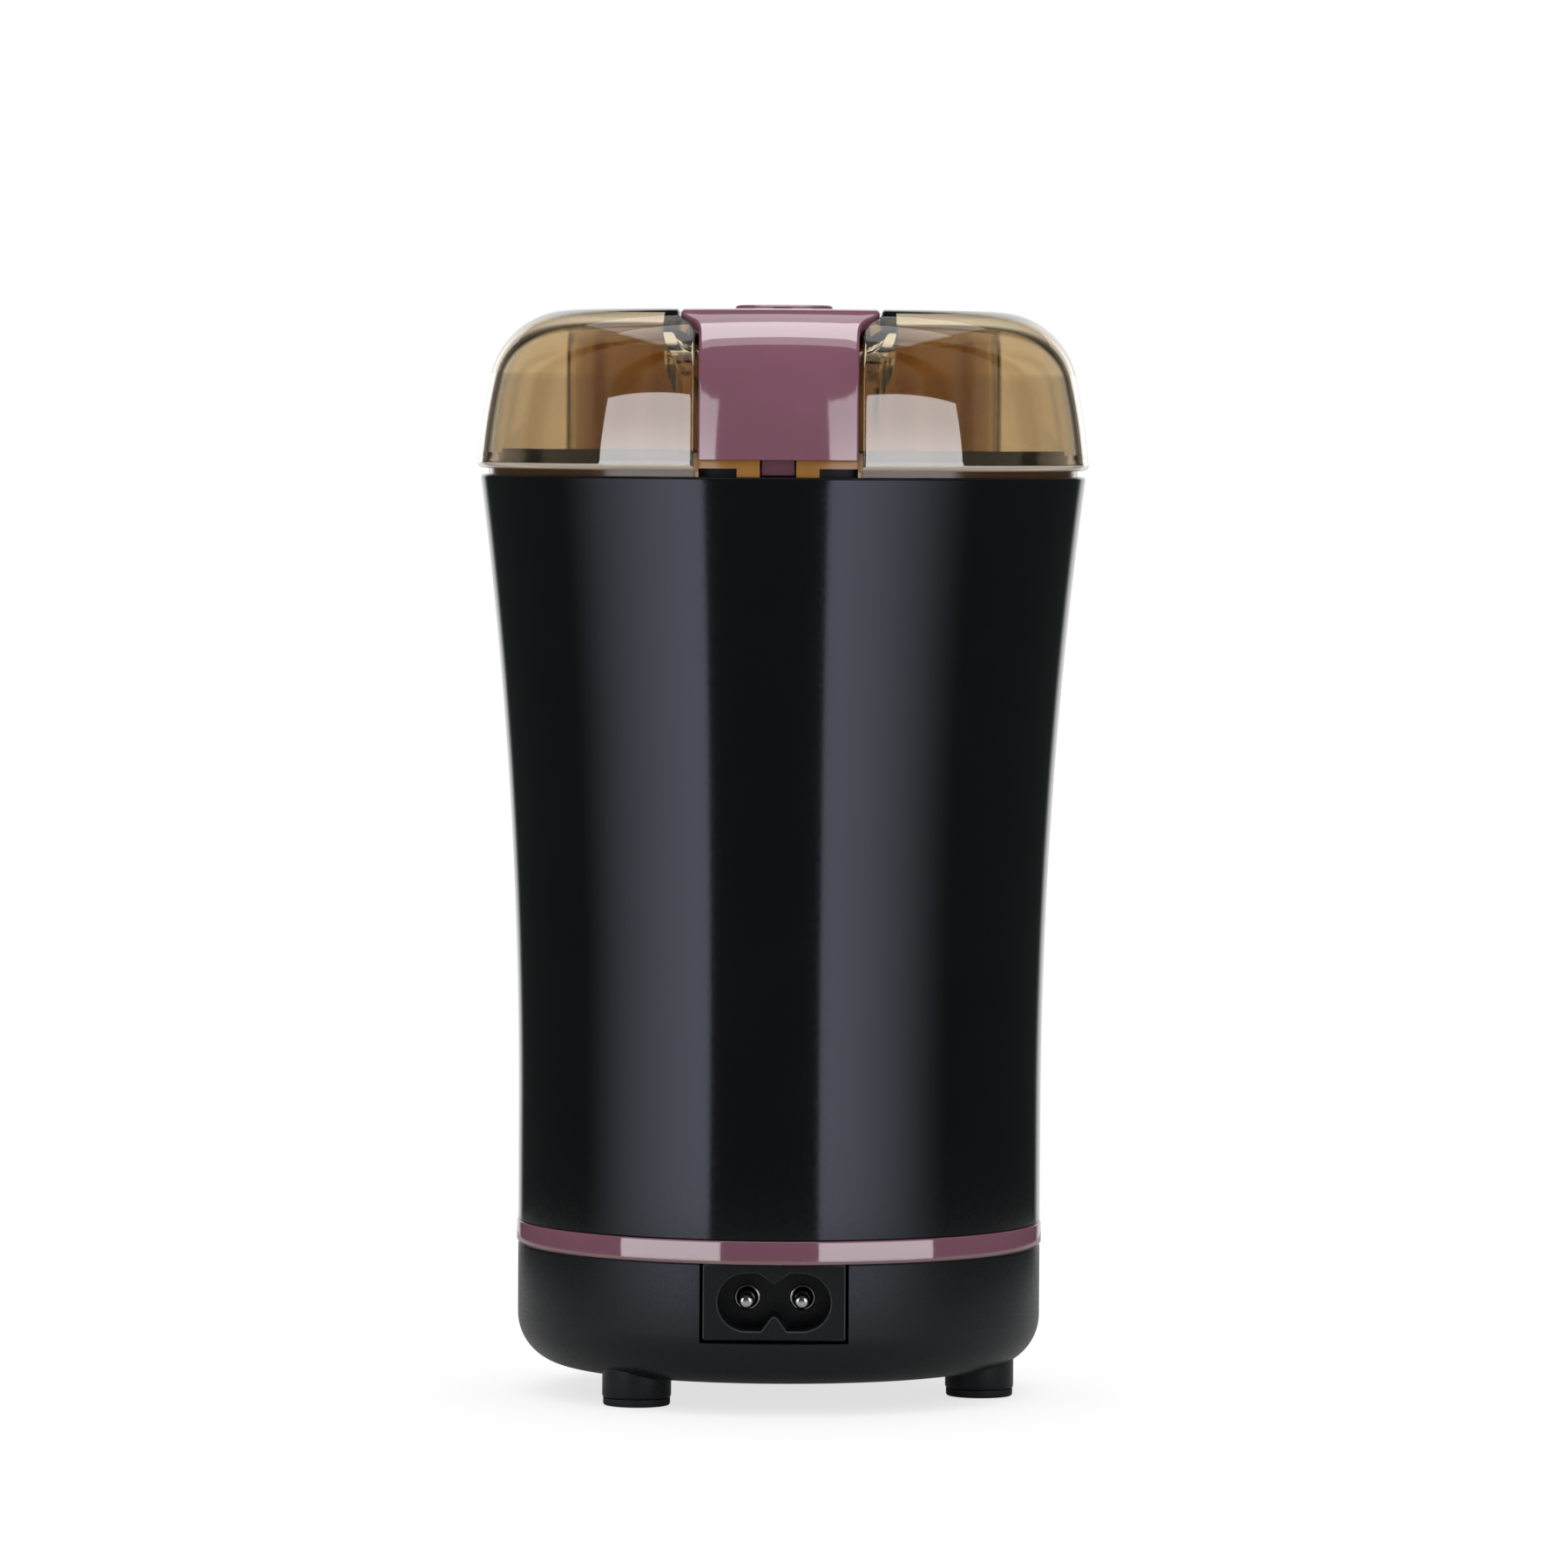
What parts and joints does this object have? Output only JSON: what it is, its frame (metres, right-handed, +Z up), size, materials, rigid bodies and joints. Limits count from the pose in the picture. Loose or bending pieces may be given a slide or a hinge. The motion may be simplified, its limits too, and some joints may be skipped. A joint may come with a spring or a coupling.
{
  "type": "electric grinder",
  "caption": "Press-lid electric grinder: see-through dome lid with a press strap, flared body with steel bowl, motor and blade, base with a mains inlet, on feet.",
  "frame": {"origin": "on the body's axis, at the surface that the foot pads stand on", "axes": "+Z up along the body's axis; the mains inlet faces -Y; +X is to the right seen from the inlet side"},
  "size_m": [0.0968, 0.0966, 0.1721],
  "materials": {
    "smoke_plastic": "clear gloss",
    "plum_plastic": "gloss",
    "black_gloss": "gloss",
    "black_satin": "satin",
    "inlet_plastic": "satin",
    "rim_plastic": "satin",
    "rubber": "matt",
    "gasket_rubber": "matt",
    "bowl_steel": "satin",
    "blade_steel": "polished",
    "pin_metal": "polished",
    "fastener_steel": "zinc plated",
    "spring_steel": "drawn wire",
    "cast_alloy": "as cast",
    "laminations": "laminated",
    "copper_wire": "enamelled",
    "copper_bars": "turned",
    "sintered_bronze": "sintered",
    "chassis_plastic": "satin",
    "holder_plastic": "satin",
    "carbon": "matt",
    "fan_plastic": "satin",
    "switch_plastic": "satin",
    "plunger_plastic": "satin",
    "rod_plastic": "satin",
    "live_insulation": "satin",
    "neutral_insulation": "satin",
    "motor_insulation": "satin"
  },
  "bodies": {
    "housing": {"base_shell": "black_satin", "foot_pads": "rubber", "base_screws": "fastener_steel", "trim_ring": "plum_plastic", "outer_shell": "black_gloss", "rim_ring": "rim_plastic", "grinding_bowl": "bowl_steel", "rim_gasket": "gasket_rubber", "bowl_gasket": "gasket_rubber", "bowl_washer": "fastener_steel", "bowl_nut": "fastener_steel", "chassis": "chassis_plastic", "upper_bracket": "cast_alloy", "lower_bracket": "cast_alloy", "upper_bearing": "sintered_bronze", "lower_bearing": "sintered_bronze", "shaft_seal": "rubber", "stator_core": "laminations", "field_coils": "copper_wire", "motor_dampers": "rubber", "motor_screws": "fastener_steel", "motor_nuts": "fastener_steel", "brush_holders": "holder_plastic", "carbon_brushes": "carbon", "brush_springs": "spring_steel", "switch_body": "switch_plastic", "switch_screws": "fastener_steel", "switch_terminals": "copper_bars", "rod_spring": "spring_steel", "inlet_socket": "inlet_plastic", "inlet_pins": "pin_metal", "live_lead": "live_insulation", "neutral_lead": "neutral_insulation", "motor_lead": "motor_insulation"},
    "rotor": {"rotor_shaft": "blade_steel", "armature_core": "laminations", "armature_winding": "copper_wire", "commutator": "copper_bars", "cooling_fan": "fan_plastic", "blade_hub": "fastener_steel", "grinding_blade": "blade_steel", "blade_nut": "fastener_steel"},
    "lid": {"lid_dome": "smoke_plastic", "strap_springs": "spring_steel"},
    "strap": {"press_strap": "plum_plastic", "strap_screws": "fastener_steel"},
    "rod": {"switch_rod": "rod_plastic"},
    "plunger": {"switch_plunger": "plunger_plastic"}
  },
  "joints": [
    {"name": "lid_lift", "type": "slide", "parent": "housing", "child": "lid", "axis": [0, 0, 1], "range_m": [0, 0.06]},
    {"name": "strap_press", "type": "slide", "parent": "lid", "child": "strap", "axis": [0, 0, -1], "range_m": [0, 0.002], "stiffness_N_per_m": 800, "springref_m": -0.002, "deforming": ["strap_springs", "rod_spring"]},
    {"name": "rod_press", "type": "slide", "parent": "housing", "child": "rod", "axis": [0, 0, -1], "range_m": [0, 0.002]},
    {"name": "plunger_press", "type": "slide", "parent": "housing", "child": "plunger", "axis": [0, 0, -1], "range_m": [0, 0.0012]},
    {"name": "rotor_spin", "type": "hinge", "parent": "housing", "child": "rotor", "pos_m": [0, 0, 0.06], "axis": [0, 0, 1], "continuous": true}
  ],
  "couplings": [
    {"joint": "rod_press", "follows": "strap_press", "ratio": 1},
    {"joint": "plunger_press", "follows": "strap_press", "ratio": 0.6}
  ]
}
